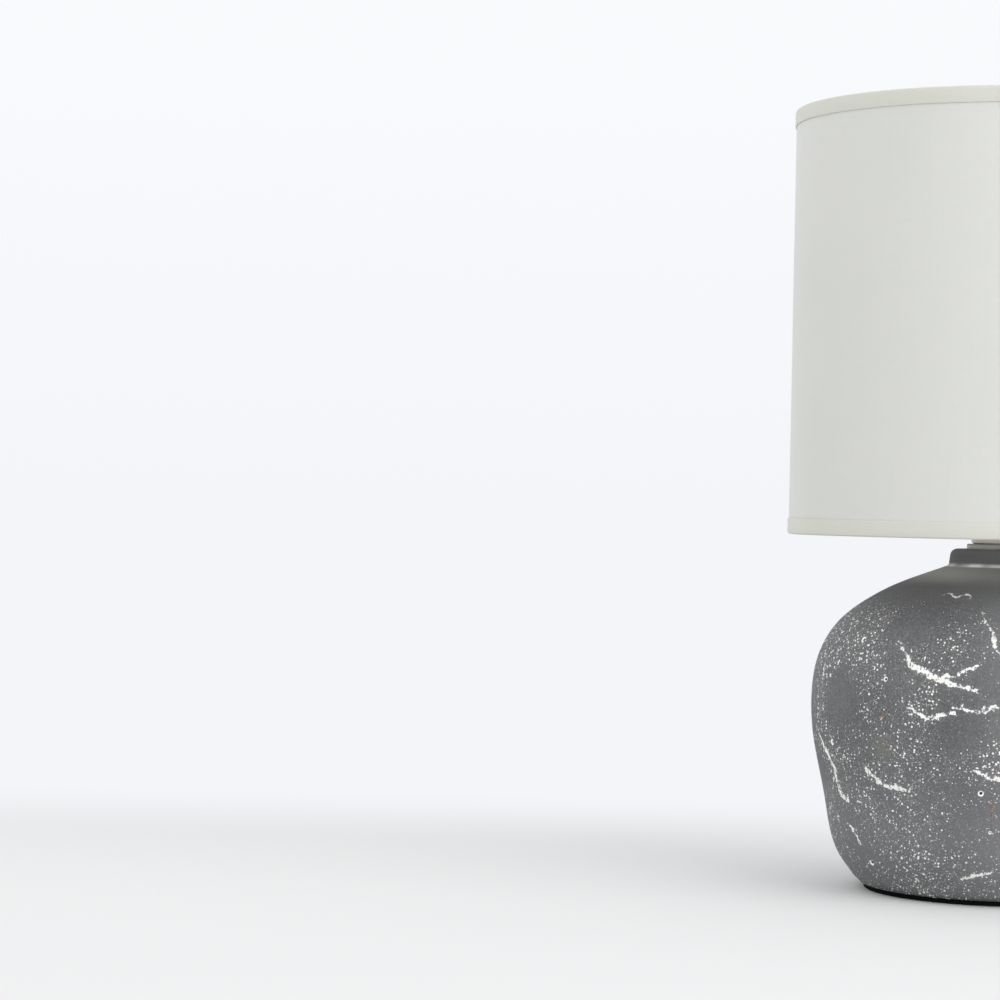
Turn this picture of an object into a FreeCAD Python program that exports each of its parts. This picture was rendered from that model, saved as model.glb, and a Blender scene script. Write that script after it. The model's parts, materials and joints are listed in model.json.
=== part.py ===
import FreeCAD, Part
import math
import os

# Table lamp with a drum shade: a hollow stoneware body, a screw-cap lamp holder on its neck,
# a small candle bulb and a fabric drum shade clamped to the holder by a shade ring.
# Millimetres. The origin is the centre of the pad that stands on the table, +Z is up
# and +Y points to the back of the lamp, where the supply lead enters.

# ---- driving dimensions -------------------------------------------------------------
LAMP_H = 388.5          # table to the top edge of the shade
PAD_T = 2.3             # felt pad under the foot
PAD_R = 66.2
COLLAR_TOP = 170.4      # top face of the stoneware collar
COLLAR_R = 24.2         # at its top edge; it widens slightly towards the shoulder

SHADE_R = 105.0         # outside of the shade fabric
SHADE_H = 212.5
SHADE_BOTTOM = LAMP_H - SHADE_H
FABRIC_T = 0.5          # woven cover
LINER_T = 0.6           # stiff sheet that the cover is glued to
TRIM_H = 8.0            # edge tape, outside height
TRIM_T = 0.6
WIRE_R = 1.5            # shade wires
RING_WIRE_R = SHADE_R - FABRIC_T - LINER_T - WIRE_R   # centre line of both wire rings

NIPPLE_R = 5.0          # M10 x 1 threaded tube
NIPPLE_BORE_R = 3.6
THREAD_PITCH = 1.0
THREAD_DEPTH = 0.55
WASHER_R = 14.0         # spreads the nut's load under the cavity's roof
WASHER_T = 1.6
NUT_FLATS = 14.0        # thin M10 nut
NUT_H = 4.0

DISC_R = 16.0           # washer disc between collar and holder
DISC_T = 2.5
HOLDER_R = 14.0         # holder body, 28 mm across
CAP_H = 20.0
CAP_WALL = 2.0
CAP_FLOOR = 2.4
CAP_BOSS_R = 8.0        # threaded boss on the tube
CAP_BOSS_H = 8.5
LOCK_SCREW_R = 1.5
LOCK_SCREW_L = 8.0
LOCK_SCREW_UP = 5.5     # above the cap's underside
HOLDER_H = 57.0
HOLDER_Z = COLLAR_TOP + DISC_T
HOLDER_TOP = HOLDER_Z + HOLDER_H
BARREL_Z = HOLDER_Z + CAP_H
INSERT_FLOOR_Z = BARREL_Z + 4.0
TERMINAL_SHANK_R = 1.3
BARREL_PITCH = 2.5      # coarse thread for the shade rings
BARREL_DEPTH = 0.7
BARREL_BORE_R = 11.4
LIP_BORE_R = 9.2        # the barrel's top lip keeps the insert in
LIP_H = 1.5
SPIGOT_H = 5.0          # part of the barrel that sits inside the cap
INSERT_R = 11.0
INSERT_WALL_R = 9.6
TERMINAL_X = 7.4        # the two core clamps, left and right of the middle

SEAT_Z = 206.6          # underside of the shade's fitter ring
FITTER_T = 2.0
FITTER_R = 22.5
FITTER_BORE_R = 14.4    # a 28 mm thread passes with running room
SHADE_RING_R = 18.5
SHADE_RING_H = 7.0
SHADE_RING_RIBS = 24
RING_BORE_R = HOLDER_R + 0.05

SHELL_R = 7.6           # brass screw shell for the small screw cap, outside
SHELL_T = 0.45
SHELL_Z = 204.1
SHELL_H = 22.0

BULB_CAP_R = 6.9        # crest of the bulb's screw cap
BULB_CONTACT_Z = 203.6  # tip of the bulb's centre contact, resting on the holder's contact
BULB_R = 17.5
BULB_L = 98.0
GLASS_T = 0.7

INLET_Z = 27.6          # height of the supply lead's inlet in the back wall
INLET_Y = 78.3          # outside of the wall there
INLET_BORE_R = 3.5      # clears a round 2-core flex
INLET_HOLE_R = 5.5
INLET_FLANGE_R = 8.5
INLET_TILT = 17.0       # degrees that the wall leans out at this height


# ---- helpers ------------------------------------------------------------------------
def vec(x, y, z):
    return FreeCAD.Vector(x, y, z)


def cyl(r, z0, z1):
    return Part.makeCylinder(r, z1 - z0, vec(0, 0, z0))


def tube(r_out, r_in, z0, z1):
    return cyl(r_out, z0, z1).cut(cyl(r_in, z0 - 1, z1 + 1))


def torus(ring_r, wire_r, z):
    return Part.makeTorus(ring_r, wire_r, vec(0, 0, z))


def revolve(points):
    """Full turn about Z of a closed outline of (r, z) points."""
    corners = [vec(r, 0, z) for r, z in points]
    face = Part.Face(Part.makePolygon(corners + corners[:1]))
    return face.revolve(vec(0, 0, 0), vec(0, 0, 1), 360)


def revolve_wire(edges):
    face = Part.Face(Part.Wire(edges))
    return face.revolve(vec(0, 0, 0), vec(0, 0, 1), 360)


def spline(points):
    curve = Part.BSplineCurve()
    curve.interpolate([vec(r, 0, z) for r, z in points])
    return curve.toShape()


def line(a, b):
    return Part.makeLine(vec(a[0], 0, a[1]), vec(b[0], 0, b[1]))


def arc(a, mid, b):
    return Part.Arc(vec(a[0], 0, a[1]), vec(mid[0], 0, mid[1]), vec(b[0], 0, b[1])).toShape()


def ridged(r_crest, r_in, z0, z1, pitch, depth):
    """Sleeve with one V-shaped ridge for each turn of its outside thread."""
    turns = int((z1 - z0) / pitch)
    start = z0 + (z1 - z0 - turns * pitch) / 2
    outline = [(r_in, z0), (r_crest - depth, z0)]
    for turn in range(turns):
        low = start + turn * pitch
        outline.append((r_crest - depth, low + 0.1 * pitch))
        outline.append((r_crest, low + 0.45 * pitch))
        outline.append((r_crest, low + 0.55 * pitch))
        outline.append((r_crest - depth, low + 0.9 * pitch))
    outline += [(r_crest - depth, z1), (r_in, z1)]
    return revolve(outline)


def hexagon(across_flats, z0, z1):
    corner_r = across_flats / math.sqrt(3)
    turn = math.pi / 3
    corners = [vec(corner_r * math.cos(k * turn), corner_r * math.sin(k * turn), z0) for k in range(7)]
    return Part.Face(Part.makePolygon(corners)).extrude(vec(0, 0, z1 - z0))


def export(name, shape):
    if not shape.isValid():
        raise ValueError(name + " isn't a valid solid")
    shape.exportStep("parts/" + name + ".step")
    low, high = shape.BoundBox.ZMin, shape.BoundBox.ZMax
    print(f"{name:22s} solids {len(shape.Solids)}  z {low:7.2f} to {high:7.2f}  {shape.Volume:10.1f} mm3")


# ---- body and what is fixed to it ---------------------------------------------------
# Outside of the pot from the foot to the foot of the collar: low full belly, broad shoulder.
FOOT = (67.2, PAD_T)
BELLY = [(68.4, 4.6), (75.6, 14.6), (84.2, 43.6), (90.1, 72.6), (91.9, 95.6), (88.2, 117.6),
         (79.0, 132.8), (65.7, 143.7), (49.5, 152.6), (34.5, 158.4), (24.8, 162.0)]
# The hollow inside follows it one wall further in.
CAVITY = [(50.0, 15.1), (64.0, 17.1), (71.0, 27.6), (76.2, 45.6), (81.6, 72.6), (83.4, 95.6),
          (80.0, 114.1), (72.0, 127.1), (59.5, 137.1), (44.0, 145.1), (30.0, 149.6), (18.0, 150.6)]
COLLAR_EDGE = 3.6       # rounding of the collar's top edge
CAVITY_TOP = 150.6
COVER_R = 58.0
COVER_T = 3.0
FLOOR_HOLE_R = 50.0


def inlet_frame(shape):
    """Stand a shape made along Z on the back wall's inlet, its +Z outwards and slightly down."""
    shape.rotate(vec(0, 0, 0), vec(1, 0, 0), -90 - INLET_TILT)
    shape.translate(vec(0, INLET_Y, INLET_Z))
    return shape


def ceramic_body():
    top = COLLAR_TOP
    edge = COLLAR_EDGE
    lean = edge * (1 - math.sqrt(0.5))
    outside = [
        line((COVER_R, PAD_T), FOOT),
        spline([FOOT] + BELLY),
        line(BELLY[-1], (COLLAR_R, top - edge)),
        arc((COLLAR_R, top - edge), (COLLAR_R - lean, top - lean), (COLLAR_R - edge, top)),
        line((COLLAR_R - edge, top), (NIPPLE_R + 0.5, top)),
    ]
    inside = [
        line((NIPPLE_R + 0.5, top), (NIPPLE_R + 0.5, CAVITY_TOP)),
        line((NIPPLE_R + 0.5, CAVITY_TOP), CAVITY[-1]),
        spline(CAVITY[::-1]),
        line(CAVITY[0], (FLOOR_HOLE_R, PAD_T + COVER_T)),
        line((FLOOR_HOLE_R, PAD_T + COVER_T), (COVER_R, PAD_T + COVER_T)),
        line((COVER_R, PAD_T + COVER_T), (COVER_R, PAD_T)),
    ]
    body = revolve_wire(outside + inside)
    return body.cut(inlet_frame(cyl(INLET_HOLE_R, -20, 20)))


def base_cover():
    """Fibreboard disc that closes the open foot, set in its rebate."""
    return cyl(COVER_R, PAD_T, PAD_T + COVER_T)


def felt_pad():
    pad = cyl(PAD_R, 0, PAD_T)
    return pad.makeFillet(0.5, [e for e in pad.Edges if e.BoundBox.ZMax < 0.1])


def cord_grommet(body):
    """Bushing of the inlet: a flange that follows the wall and a sleeve through it."""
    flange = cyl(INLET_FLANGE_R, -6, 2.6)
    rim = [e for e in flange.Edges if e.BoundBox.ZMin > 2.5]
    flange = flange.makeFillet(1.2, rim)
    sleeve = cyl(INLET_HOLE_R, -13, 1)
    raw = inlet_frame(flange.fuse(sleeve))
    solid = raw.cut(body)
    keep = max(solid.Solids, key=lambda s: s.BoundBox.YMax)
    return keep.cut(inlet_frame(cyl(INLET_BORE_R, -30, 10)))


def neck_nipple():
    return ridged(NIPPLE_R, NIPPLE_BORE_R, CAVITY_TOP - 10, HOLDER_Z + 9, THREAD_PITCH, THREAD_DEPTH)


def neck_washer():
    return tube(WASHER_R, NIPPLE_R + 0.2, CAVITY_TOP - WASHER_T, CAVITY_TOP)


def neck_nut():
    top = CAVITY_TOP - WASHER_T
    return hexagon(NUT_FLATS, top - NUT_H, top).cut(cyl(NIPPLE_R, top - NUT_H - 1, top + 1))


def neck_disc():
    """Turned disc that covers the collar's hole and carries the holder."""
    disc = tube(DISC_R, NIPPLE_R, COLLAR_TOP, HOLDER_Z)
    rim = [e for e in disc.Edges if e.BoundBox.ZMin > HOLDER_Z - 0.1 and e.BoundBox.XMax > DISC_R - 1]
    return disc.makeFillet(0.8, rim)


# ---- lamp holder ---------------------------------------------------------------------
def holder_cap():
    """Lower half of the holder: a cup that screws on the nipple, with a locking screw."""
    base = HOLDER_Z
    cup = revolve([
        (NIPPLE_R, base), (HOLDER_R - 1.8, base), (HOLDER_R - 0.5, base + 0.6), (HOLDER_R, base + 2.2),
        (HOLDER_R, base + CAP_H), (HOLDER_R - CAP_WALL, base + CAP_H),
        (HOLDER_R - CAP_WALL, base + CAP_FLOOR), (CAP_BOSS_R, base + CAP_FLOOR),
        (CAP_BOSS_R, base + CAP_BOSS_H), (NIPPLE_R, base + CAP_BOSS_H)])
    start = vec(NIPPLE_R - 1, 0, base + LOCK_SCREW_UP)
    return cup.cut(Part.makeCylinder(LOCK_SCREW_R, HOLDER_R, start, vec(1, 0, 0)))


def cap_lock_screw():
    """Grub screw that stops the holder from turning on the nipple."""
    z = HOLDER_Z + LOCK_SCREW_UP
    start = NIPPLE_R + 0.1
    screw = Part.makeCylinder(LOCK_SCREW_R, LOCK_SCREW_L, vec(start, 0, z), vec(1, 0, 0))
    slot_w = 0.5
    slot_deep = 0.8
    slot_at = vec(start + LOCK_SCREW_L - slot_deep, -2.0, z - slot_w / 2)
    return screw.cut(Part.makeBox(slot_deep, 4.0, slot_w, slot_at))


def holder_barrel():
    """Upper half: threaded outside for the shade rings, with a spigot inside the cap."""
    sleeve = ridged(HOLDER_R, BARREL_BORE_R, BARREL_Z, HOLDER_TOP - LIP_H, BARREL_PITCH, BARREL_DEPTH)
    lip = tube(HOLDER_R - BARREL_DEPTH, LIP_BORE_R, HOLDER_TOP - LIP_H, HOLDER_TOP)
    spigot = tube(HOLDER_R - CAP_WALL, INSERT_R, BARREL_Z - SPIGOT_H, BARREL_Z)
    return sleeve.fuse([lip, spigot]).removeSplitter()


def holder_insert():
    """Moulded carrier of the contacts and the screw shell."""
    floor = cyl(INSERT_R, BARREL_Z - SPIGOT_H, INSERT_FLOOR_Z)
    wall = tube(INSERT_WALL_R, SHELL_R, INSERT_FLOOR_Z, SHELL_Z + 16)
    skirt = tube(INSERT_R, INSERT_WALL_R, INSERT_FLOOR_Z, INSERT_FLOOR_Z + 4.0)
    body = floor.fuse([wall, skirt])
    for side in (-1, 1):
        pocket = Part.makeBox(5.0, 6.0, 5.0, vec(side * TERMINAL_X - 2.5, -3.0, BARREL_Z - SPIGOT_H))
        screw_hole = cyl(TERMINAL_SHANK_R, BARREL_Z - 1, BARREL_Z + 3)
        screw_hole.translate(vec(side * TERMINAL_X, 0, 0))
        body = body.cut(pocket).cut(screw_hole)
    return body.removeSplitter()


def terminal_screws():
    """Two brass screws that clamp the cores, heads in the insert's pockets."""
    screws = []
    for side in (-1, 1):
        head = Part.makeCylinder(2.2, 1.6, vec(0, 0, BARREL_Z - 4.8))
        shank = Part.makeCylinder(TERMINAL_SHANK_R, 6.0, vec(0, 0, BARREL_Z - 3.2))
        slot = Part.makeBox(5.0, 0.6, 0.7, vec(-2.5, -0.3, BARREL_Z - 4.9))
        screw = head.fuse(shank).cut(slot)
        screw.translate(vec(side * TERMINAL_X, 0, 0))
        screws.append(screw)
    return Part.makeCompound(screws)


def screw_shell():
    """Thin brass shell that takes the bulb's screw cap, with a rolled lip."""
    wall = tube(SHELL_R, SHELL_R - SHELL_T, SHELL_Z, SHELL_Z + SHELL_H - 1)
    lip = tube(SHELL_R + 0.9, SHELL_R - SHELL_T, SHELL_Z + SHELL_H - 1, SHELL_Z + SHELL_H)
    return wall.fuse(lip).removeSplitter()


def centre_contact():
    """Springy brass tongue under the bulb's centre contact."""
    z = INSERT_FLOOR_Z
    top = BULB_CONTACT_Z - 0.1
    outline = [(-5.5, z), (5.5, z), (5.5, z + 0.5), (-4.6, z + 0.5), (-1.5, top - 0.5),
               (3.5, top - 0.5), (3.5, top), (-1.8, top), (-5.5, z + 0.9)]
    corners = [vec(x, -2.0, h) for x, h in outline]
    return Part.Face(Part.makePolygon(corners + corners[:1])).extrude(vec(0, 4.0, 0))


def knurled_ring(z0, height):
    """Moulded shade ring: a threaded collar with finger ribs around it."""
    ring = tube(SHADE_RING_R - 0.8, RING_BORE_R, z0, z0 + height)
    ribs = SHADE_RING_RIBS
    rib = Part.makeBox(1.6, 1.8, height - 1.0, vec(SHADE_RING_R - 1.5, -0.9, z0 + 0.5))
    for k in range(ribs):
        turned = rib.copy()
        turned.rotate(vec(0, 0, 0), vec(0, 0, 1), 360.0 * k / ribs)
        ring = ring.fuse(turned)
    return ring.removeSplitter()


def lower_shade_ring():
    return knurled_ring(SEAT_Z - SHADE_RING_H, SHADE_RING_H)


def upper_shade_ring():
    return knurled_ring(SEAT_Z + FITTER_T, SHADE_RING_H)


# ---- bulb ------------------------------------------------------------------------------
CAP_Z = BULB_CONTACT_Z + 3.2      # lower edge of the bulb's metal cap
CAP_TOP = BULB_CONTACT_Z + 26.0
BULB_TOP = BULB_CONTACT_Z + BULB_L
SCREW_PITCH = 2.822               # small screw cap, nine turns to the inch
SCREW_DEPTH = 0.7
CAP_COLLAR_R = 6.6
CAP_COLLAR_H = 6.0
CAP_INSIDE_R = 5.6
CAP_SHEET = 0.4
GLASS_NECK_R = 6.1
GLASS_TAIL = 4.0                  # how far the glass reaches down into the cap
STEM_R = 2.0
STEM_L = 20.0
STRIPS = 4
STRIP_FOOT_R = 5.0
LEAD_R = 0.3


def bulb_contact():
    button = Part.makeSphere(3.4, vec(0, 0, BULB_CONTACT_Z + 3.4))
    return button.common(cyl(2.4, BULB_CONTACT_Z, BULB_CONTACT_Z + 2.0))


def bulb_insulator():
    """Dark glass cone between the centre contact and the cap."""
    cone = Part.makeCone(3.2, 5.6, 2.2, vec(0, 0, BULB_CONTACT_Z + 1.0))
    return cone.cut(bulb_contact())


def bulb_cap():
    """Screw cap: ridged skirt with a floor, and a plain collar that grips the glass."""
    foot = CAP_TOP - CAP_COLLAR_H
    skirt = ridged(BULB_CAP_R, CAP_INSIDE_R, CAP_Z, foot, SCREW_PITCH, SCREW_DEPTH)
    collar = revolve([
        (CAP_INSIDE_R, foot), (CAP_COLLAR_R, foot), (CAP_COLLAR_R, CAP_TOP), (GLASS_NECK_R, CAP_TOP),
        (GLASS_NECK_R, CAP_TOP - GLASS_TAIL), (CAP_INSIDE_R, CAP_TOP - GLASS_TAIL)])
    floor = cyl(CAP_INSIDE_R, CAP_Z, CAP_Z + CAP_SHEET)
    return skirt.fuse([collar, floor]).removeSplitter()


def candle(inset, foot_z):
    """Candle shape of the bulb as a solid of revolution, moved inwards by inset."""
    throat = CAP_TOP + 0.4
    waist = GLASS_NECK_R - inset
    tip = BULB_TOP - inset
    side = [(waist, throat), (8.6 - inset, throat + 4.0), (13.2 - inset, throat + 13.0),
            (BULB_R - inset, throat + 29.0), (14.6 - inset, throat + 49.0),
            (7.2 - inset, throat + 66.0), (0.0, tip)]
    edges = [
        line((0, foot_z), (waist, foot_z)),
        line((waist, foot_z), side[0]),
        spline(side),
        line((0, tip), (0, foot_z)),
    ]
    return revolve_wire(edges)


def bulb_glass():
    neck = CAP_TOP - GLASS_TAIL
    return candle(0, neck).cut(candle(GLASS_T, neck - 1))


def bulb_stem():
    """Glass mount that seals the bulb and carries the filaments."""
    z = CAP_TOP - GLASS_TAIL
    flare = Part.makeCone(5.3, 2.6, 6.0, vec(0, 0, z))
    rod = cyl(STEM_R, z + 6.0, z + STEM_L)
    tip = Part.makeSphere(STEM_R, vec(0, 0, z + STEM_L))
    return flare.fuse([rod, tip]).removeSplitter()


FILAMENT_Z = CAP_TOP + 14.0
FILAMENT_L = 34.0


def bulb_filaments():
    """Four straight light strips between the support wires."""
    strips = []
    for k in range(STRIPS):
        turn = math.radians(45 + 360 / STRIPS * k)
        foot = vec(STRIP_FOOT_R * math.cos(turn), STRIP_FOOT_R * math.sin(turn), FILAMENT_Z)
        head = vec(3.4 * math.cos(turn + 0.5), 3.4 * math.sin(turn + 0.5), FILAMENT_Z + FILAMENT_L)
        strips.append(Part.makeCylinder(0.8, FILAMENT_L, foot, head - foot))
    return Part.makeCompound(strips)


def bulb_supports():
    """Lead wires: a spider from the stem to the strips' feet and a star at their heads."""
    collar_z = CAP_TOP + 10.4
    spider = tube(STEM_R + LEAD_R, STEM_R, collar_z, collar_z + 1.4)
    for k in range(STRIPS):
        turn = math.radians(45 + 360 / STRIPS * k)
        start = vec(1.5 * math.cos(turn), 1.5 * math.sin(turn), collar_z + 0.6)
        foot = vec(STRIP_FOOT_R * math.cos(turn), STRIP_FOOT_R * math.sin(turn), FILAMENT_Z - 0.2)
        spider = spider.fuse(Part.makeCylinder(LEAD_R, (foot - start).Length, start, foot - start))
    spider = spider.cut(bulb_stem()).removeSplitter()
    wires = [max(spider.Solids, key=lambda s: s.Volume)]
    head_z = FILAMENT_Z + FILAMENT_L + 0.6
    star = Part.makeCylinder(1.0, 0.8, vec(0, 0, head_z))
    hub = vec(0, 0, head_z + 0.4)
    for k in range(STRIPS):
        turn = math.radians(45 + 360 / STRIPS * k) + 0.5
        run = vec(3.6 * math.cos(turn), 3.6 * math.sin(turn), 0)
        star = star.fuse(Part.makeCylinder(LEAD_R, run.Length, hub, run))
    wires.append(star.removeSplitter())
    return Part.makeCompound(wires)


# ---- shade -----------------------------------------------------------------------------
def shade_fabric():
    return tube(SHADE_R, SHADE_R - FABRIC_T, SHADE_BOTTOM + TRIM_T, LAMP_H - TRIM_T)


def shade_liner():
    inner = SHADE_R - FABRIC_T - LINER_T
    return tube(SHADE_R - FABRIC_T, inner, SHADE_BOTTOM + TRIM_T, LAMP_H - TRIM_T)


def trim(z_edge, side):
    """Tape folded over an edge of the shade and round its wire; side is 1 at the top, -1 below."""
    low = min(z_edge, z_edge - side * TRIM_H)
    outside = tube(SHADE_R + TRIM_T, SHADE_R, low, low + TRIM_H)
    wire_in = RING_WIRE_R - WIRE_R
    edge_low = min(z_edge, z_edge - side * TRIM_T)
    over = tube(SHADE_R + TRIM_T, wire_in - TRIM_T, edge_low, edge_low + TRIM_T)
    back_low = min(z_edge, z_edge - side * (2 * WIRE_R + 2 * TRIM_T))
    inside = tube(wire_in, wire_in - TRIM_T, back_low, back_low + 2 * WIRE_R + 2 * TRIM_T)
    return outside.fuse([over, inside]).removeSplitter()


def top_trim():
    return trim(LAMP_H, 1)


BOTTOM_WIRE_Z = SHADE_BOTTOM + TRIM_T + WIRE_R
ARMS = 3
ARM_START = 90.0          # one arm points straight back
ARM_END = vec(FITTER_R - 1.2, 0, SEAT_Z + FITTER_T / 2)
ARM_FOOT = vec(RING_WIRE_R - WIRE_R - TRIM_T - 0.5, 0, BOTTOM_WIRE_Z + 3.4)


def arm():
    """One straight wire from the bottom ring's hem up to the fitter ring."""
    run = ARM_END - ARM_FOOT
    wire = Part.makeCylinder(WIRE_R, run.Length, ARM_FOOT, run)
    foot = Part.makeSphere(WIRE_R, ARM_FOOT)
    start = vec(RING_WIRE_R, 0, BOTTOM_WIRE_Z)
    hook_run = ARM_FOOT - start
    hook = Part.makeCylinder(WIRE_R, hook_run.Length, start, hook_run)
    return wire.fuse([foot, hook])


def fitter_arms(bottom_ring, fitter):
    arms = []
    for k in range(ARMS):
        one = arm()
        one.rotate(vec(0, 0, 0), vec(0, 0, 1), ARM_START + 360.0 * k / ARMS)
        one = one.cut(bottom_ring).cut(fitter)
        arms.append(max(one.Solids, key=lambda s: s.Volume))
    return Part.makeCompound(arms)


def bottom_trim(arms):
    """The lower tape, let in where the three arms leave the wire ring."""
    return trim(SHADE_BOTTOM, -1).cut(arms)


def fitter_ring():
    """Flat steel ring that drops over the holder's thread."""
    ring = tube(FITTER_R, FITTER_BORE_R, SEAT_Z, SEAT_Z + FITTER_T)
    return ring.makeFillet(0.4, [e for e in ring.Edges if e.BoundBox.XMax > FITTER_R - 0.1
                                 and e.BoundBox.ZLength < 0.01])


def build():
    body = ceramic_body()
    bottom_wire = torus(RING_WIRE_R, WIRE_R, BOTTOM_WIRE_Z)
    fitter = fitter_ring()
    arms = fitter_arms(bottom_wire, fitter)
    return {
        "ceramic_body": body,
        "base_cover": base_cover(),
        "felt_pad": felt_pad(),
        "cord_grommet": cord_grommet(body),
        "neck_nipple": neck_nipple(),
        "neck_washer": neck_washer(),
        "neck_nut": neck_nut(),
        "neck_disc": neck_disc(),
        "holder_cap": holder_cap(),
        "cap_lock_screw": cap_lock_screw(),
        "holder_barrel": holder_barrel(),
        "holder_insert": holder_insert(),
        "terminal_screws": terminal_screws(),
        "screw_shell": screw_shell(),
        "centre_contact": centre_contact(),
        "lower_shade_ring": lower_shade_ring(),
        "upper_shade_ring": upper_shade_ring(),
        "bulb_contact": bulb_contact(),
        "bulb_insulator": bulb_insulator(),
        "bulb_cap": bulb_cap(),
        "bulb_glass": bulb_glass(),
        "bulb_stem": bulb_stem(),
        "bulb_supports": bulb_supports(),
        "bulb_filaments": bulb_filaments(),
        "shade_fabric": shade_fabric(),
        "shade_liner": shade_liner(),
        "top_trim": top_trim(),
        "bottom_trim": bottom_trim(arms),
        "top_wire_ring": torus(RING_WIRE_R, WIRE_R, LAMP_H - TRIM_T - WIRE_R),
        "bottom_wire_ring": bottom_wire,
        "fitter_ring": fitter,
        "fitter_arms": arms,
    }


os.makedirs("parts", exist_ok=True)
for node_name, node_shape in build().items():
    export(node_name, node_shape)
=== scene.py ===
import json
import math
import random

import bmesh
import bpy
import numpy as np
from mathutils import Matrix, Vector, noise

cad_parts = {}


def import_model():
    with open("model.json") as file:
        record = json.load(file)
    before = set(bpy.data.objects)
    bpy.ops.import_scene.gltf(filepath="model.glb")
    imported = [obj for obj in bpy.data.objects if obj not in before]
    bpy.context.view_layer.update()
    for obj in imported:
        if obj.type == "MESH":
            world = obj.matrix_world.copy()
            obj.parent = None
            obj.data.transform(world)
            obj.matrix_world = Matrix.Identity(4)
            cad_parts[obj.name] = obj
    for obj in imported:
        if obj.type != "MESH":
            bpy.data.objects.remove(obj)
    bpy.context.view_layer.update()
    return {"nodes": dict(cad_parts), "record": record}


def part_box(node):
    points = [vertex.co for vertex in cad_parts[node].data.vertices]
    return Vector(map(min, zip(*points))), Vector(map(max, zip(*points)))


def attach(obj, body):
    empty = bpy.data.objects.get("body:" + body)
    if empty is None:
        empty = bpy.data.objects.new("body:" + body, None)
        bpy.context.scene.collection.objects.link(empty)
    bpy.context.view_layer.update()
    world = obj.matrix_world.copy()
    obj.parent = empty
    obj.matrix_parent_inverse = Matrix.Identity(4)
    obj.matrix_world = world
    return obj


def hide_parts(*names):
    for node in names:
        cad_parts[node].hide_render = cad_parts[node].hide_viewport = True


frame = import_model()
MM = 0.001
NODES = frame["nodes"]


# ---- mesh helpers -----------------------------------------------------------------------
def new_piece(name, verts, faces, body, slot, *stands_for):
    """A smooth-shaded mesh piece that rides on a body and may stand for CAD nodes."""
    mesh = bpy.data.meshes.new(name)
    mesh.from_pydata([tuple(v) for v in verts], [], [tuple(f) for f in faces])
    mesh.validate()
    piece = bpy.data.objects.new(name, mesh)
    bpy.context.scene.collection.objects.link(piece)
    tidy_mesh(mesh)
    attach(piece, body)
    if stands_for:
        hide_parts(*stands_for)
    return piece


def tidy_mesh(mesh, sharp_deg=35):
    """Merge doubled points, turn the faces outwards and shade smooth up to a sharp edge."""
    work = bmesh.new()
    work.from_mesh(mesh)
    bmesh.ops.remove_doubles(work, verts=work.verts, dist=1e-7)
    bmesh.ops.recalc_face_normals(work, faces=work.faces)
    limit = math.radians(sharp_deg)
    for face in work.faces:
        face.smooth = True
    for edge in work.edges:
        edge.smooth = not (len(edge.link_faces) == 2 and edge.calc_face_angle(0) > limit)
    work.to_mesh(mesh)
    work.free()


def lathe(outline, segments, wobble=None):
    """Closed or open outline of (r, z) in metres turned about Z; wobble(r, z, turn) moves a point."""
    rows = len(outline)
    verts = []
    for r, z in outline:
        for k in range(segments):
            turn = 2 * math.pi * k / segments
            radius, height = wobble(r, z, turn) if wobble else (r, z)
            verts.append((radius * math.cos(turn), radius * math.sin(turn), height))
    faces = []
    for row in range(rows):
        below = (row + 1) % rows
        for k in range(segments):
            right = (k + 1) % segments
            faces.append((row * segments + k, row * segments + right,
                          below * segments + right, below * segments + k))
    return verts, faces


def rounded(points, radius, steps=4):
    """The same closed outline with each corner replaced by a short arc of about that radius."""
    out = []
    count = len(points)
    for n in range(count):
        here = np.array(points[n], float)
        before = np.array(points[n - 1], float) - here
        after = np.array(points[(n + 1) % count], float) - here
        reach = min(radius, 0.45 * np.linalg.norm(before), 0.45 * np.linalg.norm(after))
        start = here + before / np.linalg.norm(before) * reach
        end = here + after / np.linalg.norm(after) * reach
        for s in np.linspace(0, 1, steps + 1):
            out.append(tuple((1 - s) ** 2 * start + 2 * s * (1 - s) * here + s ** 2 * end))
    return out


def smooth_curve(points, count):
    """count points evenly along a Catmull-Rom curve through a few points."""
    p = np.array(points, float)
    p = np.vstack([2 * p[0] - p[1], p, 2 * p[-1] - p[-2]])
    fine = []
    for n in range(1, len(p) - 2):
        for s in np.linspace(0, 1, 24, endpoint=False):
            a, b, c, d = p[n - 1], p[n], p[n + 1], p[n + 2]
            fine.append(0.5 * (2 * b + (c - a) * s + (2 * a - 5 * b + 4 * c - d) * s ** 2
                               + (3 * b - a - 3 * c + d) * s ** 3))
    fine.append(p[-2])
    fine = np.array(fine)
    along = np.concatenate([[0], np.cumsum(np.linalg.norm(np.diff(fine, axis=0), axis=1))])
    at = np.linspace(0, along[-1], count)
    return np.stack([np.interp(at, along, fine[:, k]) for k in range(p.shape[1])], axis=1)


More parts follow.
